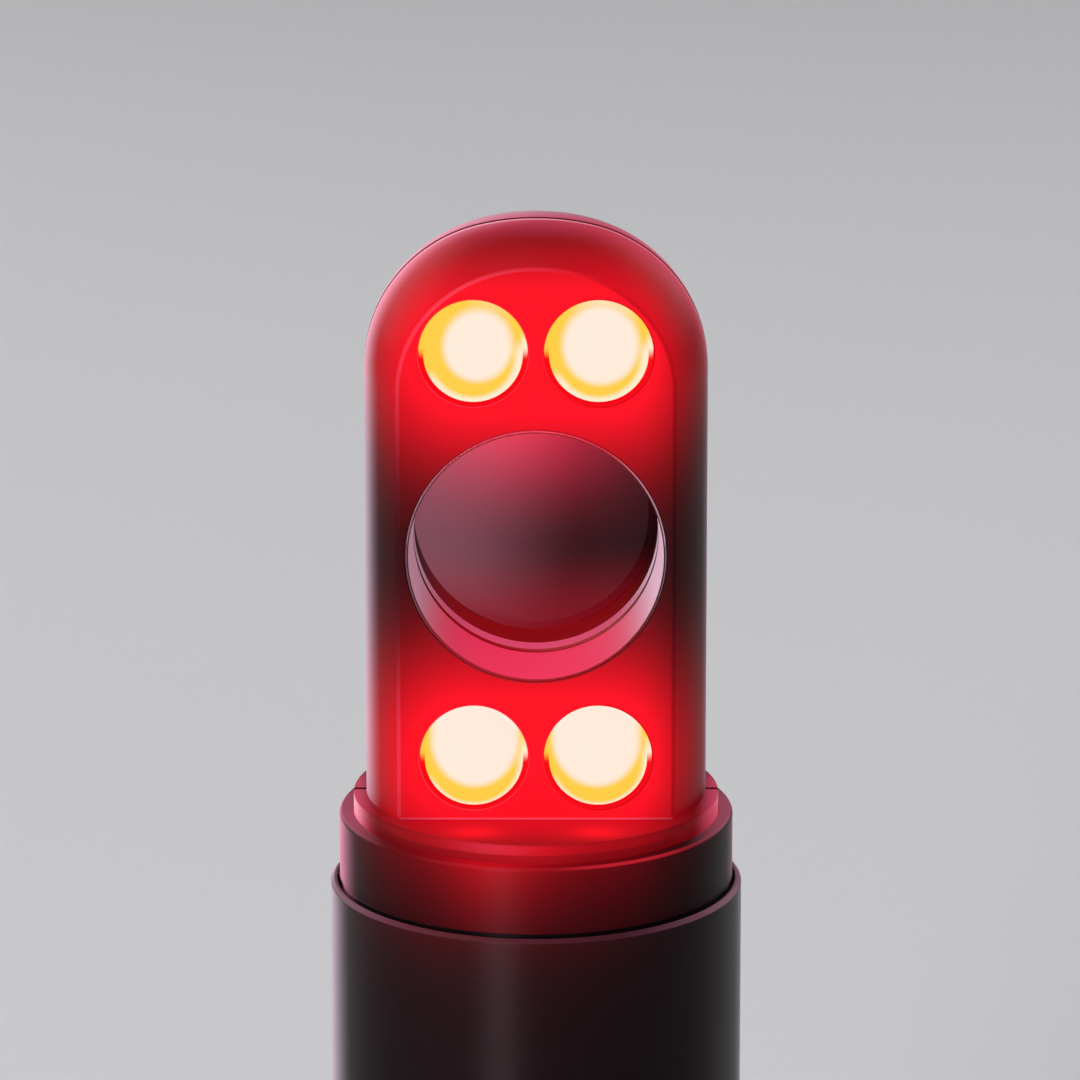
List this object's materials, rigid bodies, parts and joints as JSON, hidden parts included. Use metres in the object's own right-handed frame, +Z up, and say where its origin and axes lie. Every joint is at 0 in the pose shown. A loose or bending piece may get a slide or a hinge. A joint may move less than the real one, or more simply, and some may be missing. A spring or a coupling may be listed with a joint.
{
  "type": "led safety flare",
  "caption": "Upright hand flare: round metal body, stepped collar and domed black head whose flat face carries lit red lamps round a deep well with a recessed push button.",
  "frame": {"origin": "centre of the base's flat foot", "axes": "+Z up along the body's axis, -Y out of the lamp face, +X to the right as the lamps face the viewer"},
  "size_m": [0.034, 0.034, 0.168],
  "materials": {
    "body_anodised": "satin black anodised",
    "base_anodised": "satin black anodised",
    "collar_anodised": "satin black anodised",
    "front_shell_black": "satin moulded, lit red round the lamps",
    "rear_shell_black": "satin moulded",
    "bezel_metal": "satin turned",
    "guide_black": "matt",
    "button_satin": "satin",
    "plunger_white": "matt",
    "lens_lit": "clear, lit",
    "emitter_lit": "lit chip",
    "board_white": "solder mask",
    "board_green": "solder mask",
    "chip_black": "moulded",
    "seal_rubber": "matt",
    "sleeve_plastic": "natural",
    "contact_brass": "plain",
    "spring_steel": "plated",
    "screw_steel": "plated",
    "cell_can": "printed can, left plain",
    "lead_red": "insulated",
    "lead_black": "insulated"
  },
  "bodies": {
    "body": {"body_tube": "body_anodised", "base_plug": "base_anodised", "base_seal": "seal_rubber", "battery_sleeve": "sleeve_plastic", "tail_contact": "contact_brass", "tail_spring": "spring_steel", "lower_cell": "cell_can", "upper_cell": "cell_can"},
    "seal": {"collar_seal": "seal_rubber"},
    "head": {"collar": "collar_anodised", "contact_board": "board_green", "contact_spring": "spring_steel", "driver_parts": "chip_black", "front_shell": "front_shell_black", "rear_shell": "rear_shell_black", "shell_screws": "screw_steel", "button_bezel": "bezel_metal", "well_seal": "seal_rubber", "bezel_ring": "bezel_metal", "button_guide": "guide_black", "switch_body": "chip_black", "switch_board": "board_green", "lens_upper_left": "lens_lit", "lens_upper_right": "lens_lit", "lens_lower_left": "lens_lit", "lens_lower_right": "lens_lit", "emitter_upper_left": "emitter_lit", "emitter_upper_right": "emitter_lit", "emitter_lower_left": "emitter_lit", "emitter_lower_right": "emitter_lit", "upper_led_board": "board_white", "lower_led_board": "board_white", "upper_leads": "lead_red", "lower_leads": "lead_red", "switch_leads": "lead_black"},
    "button": {"push_button": "button_satin", "switch_plunger": "plunger_white"}
  },
  "joints": [
    {"name": "head_lift", "type": "slide", "parent": "body", "child": "seal", "axis": [0, 0, 1], "range_m": [0, 0.0045]},
    {"name": "head_unscrew", "type": "hinge", "parent": "seal", "child": "head", "pos_m": [0, 0, 0.1], "axis": [0, 0, 1], "range_deg": [0, 1080]},
    {"name": "button_press", "type": "slide", "parent": "head", "child": "button", "axis": [0, 1, 0], "range_m": [0, 0.001], "stiffness_N_per_m": 800, "springref_m": -0.001}
  ],
  "couplings": [
    {"joint": "head_lift", "follows": "head_unscrew", "m_per_rad": 0.00023873}
  ]
}
